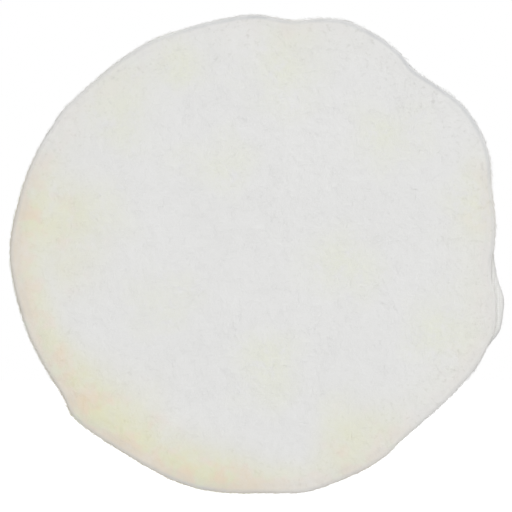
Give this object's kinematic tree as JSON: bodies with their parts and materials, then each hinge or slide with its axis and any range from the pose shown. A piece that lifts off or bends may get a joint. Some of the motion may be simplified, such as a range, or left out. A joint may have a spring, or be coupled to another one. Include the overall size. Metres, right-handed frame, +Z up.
{
  "type": "felt polishing wheel",
  "caption": "Lapidary polishing wheel: a hand-cut felt pad held by hook and loop on a cushioned head with a hub bored for an arbor.",
  "frame": {"origin": "on the spin axis, in the plane where the hub's flange seats on the backing plate", "axes": "+Y along the spin axis, out of the hub's bore; -Y is the way the felt faces; +Z up, through the upper set screw; +X through the side set screw"},
  "size_m": [0.1553, 0.0495, 0.15],
  "materials": {
    "felt": "pressed wool felt, off-white, soiled tan along one edge",
    "adhesive": "dried contact adhesive",
    "loop_cloth": "brushed nylon loop cloth, off-white",
    "hook_tape": "moulded nylon hooks, black",
    "sponge_rubber": "closed-cell sponge, cut edge",
    "plate_aluminium": "turned",
    "hub_steel": "turned",
    "black_oxide": "black oxide, oiled",
    "zinc_steel": "bright zinc plate"
  },
  "bodies": {
    "wheel_head": {"hub": "hub_steel", "backing_plate": "plate_aluminium", "hub_screws": "black_oxide", "lock_washers": "zinc_steel", "cushion_glue": "adhesive", "rubber_cushion": "sponge_rubber", "hook_glue": "adhesive", "hook_sheet": "hook_tape"},
    "felt_pad": {"loop_sheet": "loop_cloth", "felt_glue": "adhesive", "felt_disc": "felt"},
    "side_set_screw": {"set_screw_side": "black_oxide"},
    "top_set_screw": {"set_screw_top": "black_oxide"}
  },
  "joints": [
    {"name": "pad_pull_off", "type": "slide", "parent": "wheel_head", "child": "felt_pad", "axis": [0, -1, 0], "range_m": [0, 0.03]},
    {"name": "side_set_screw_turn", "type": "slide", "parent": "wheel_head", "child": "side_set_screw", "axis": [1, 0, 0], "range_m": [-0.0002, 0.006]},
    {"name": "top_set_screw_turn", "type": "slide", "parent": "wheel_head", "child": "top_set_screw", "axis": [0, 0, 1], "range_m": [-0.0002, 0.006]}
  ]
}
